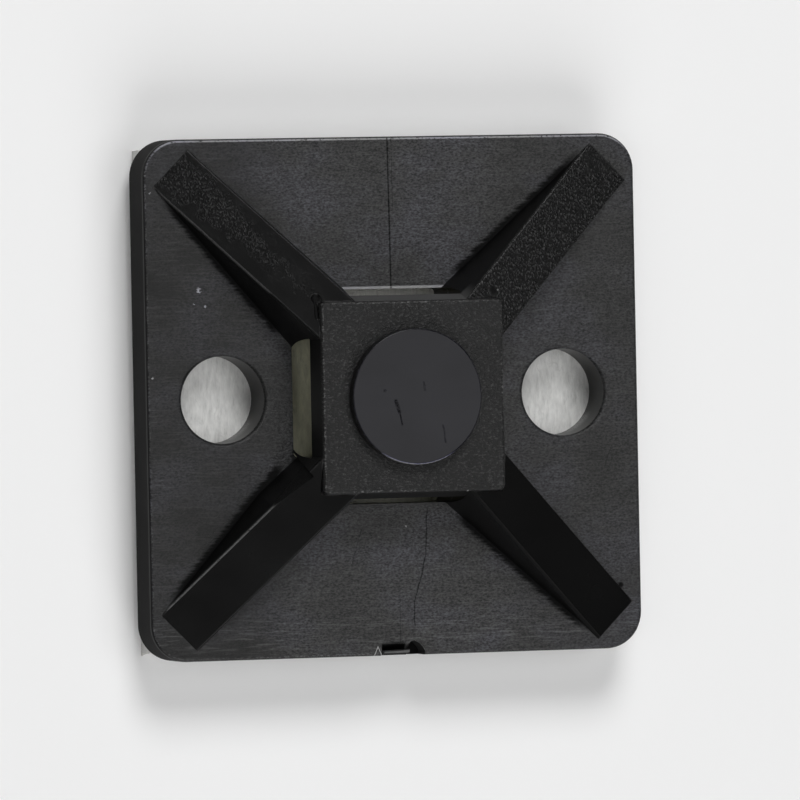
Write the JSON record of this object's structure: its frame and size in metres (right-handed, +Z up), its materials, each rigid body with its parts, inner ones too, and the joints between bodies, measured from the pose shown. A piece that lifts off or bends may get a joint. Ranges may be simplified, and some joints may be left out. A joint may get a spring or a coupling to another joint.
{
  "type": "adhesive cable tie mount",
  "caption": "Square black cable tie mount: a raised bridge with crossing tie passages, ribs to the corners, screw holes and a foam adhesive pad.",
  "frame": {"origin": "middle of the release liner's underside, which is the face that lies on the surface", "axes": "+Z up out of the surface that the mount is stuck to, +X along the line through the two screw holes, +Y away from the edge with the gate mark"},
  "size_m": [0.028, 0.028, 0.0074],
  "materials": {
    "black_nylon": "spark-eroded matte texture with a smooth round boss",
    "white_foam": "closed-cell foam tape with a clear adhesive film",
    "liner_paper": "silicone-coated paper, semi-gloss"
  },
  "bodies": {
    "root": {"mount_base": "black_nylon", "foam_pad": "white_foam", "release_liner": "liner_paper"}
  },
  "joints": []
}
